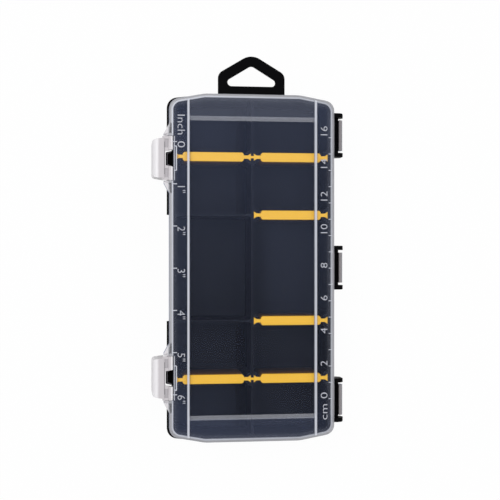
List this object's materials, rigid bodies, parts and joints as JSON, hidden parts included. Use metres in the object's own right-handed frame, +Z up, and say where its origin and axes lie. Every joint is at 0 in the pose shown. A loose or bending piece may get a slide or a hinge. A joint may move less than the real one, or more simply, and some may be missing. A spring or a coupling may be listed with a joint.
{
  "type": "fishing tackle box",
  "caption": "Flat pocket tackle box: moulded tray with lift-out dividers and a hang tab, and a clear hinged lid with ruler edges that shuts with snap latches.",
  "frame": {"origin": "on the underside, below the middle of the shut lid's outline", "axes": "+X towards the hinges, +Y along the box towards the hang tab, +Z up out of the lid"},
  "size_m": [0.1188, 0.2356, 0.035],
  "materials": {
    "black_plastic": "fine satin grain",
    "clear_plastic": "clear, slightly milky polypropylene",
    "latch_plastic": "clear, milky polypropylene",
    "yellow_plastic": "satin"
  },
  "bodies": {
    "base": {"tray": "black_plastic", "divider_latch_side_1": "yellow_plastic", "divider_latch_side_2": "yellow_plastic", "divider_hinge_side_1": "yellow_plastic", "divider_hinge_side_2": "yellow_plastic", "divider_hinge_side_3": "yellow_plastic", "divider_hinge_side_4": "yellow_plastic"},
    "lid_body": {"lid": "clear_plastic"},
    "tab_end_latch": {"latch_tab_end": "latch_plastic"},
    "far_end_latch": {"latch_far_end": "latch_plastic"}
  },
  "joints": [
    {"name": "lid_hinge", "type": "hinge", "parent": "base", "child": "lid_body", "pos_m": [0.0533, 0, 0.024], "axis": [0, 1, 0], "range_deg": [0, 180]},
    {"name": "tab_end_latch_hinge", "type": "hinge", "parent": "lid_body", "child": "tab_end_latch", "pos_m": [-0.05, 0.0663, 0.0332], "axis": [0, 1, 0], "range_deg": [0, 95]},
    {"name": "far_end_latch_hinge", "type": "hinge", "parent": "lid_body", "child": "far_end_latch", "pos_m": [-0.05, -0.0663, 0.0332], "axis": [0, 1, 0], "range_deg": [0, 95]}
  ]
}
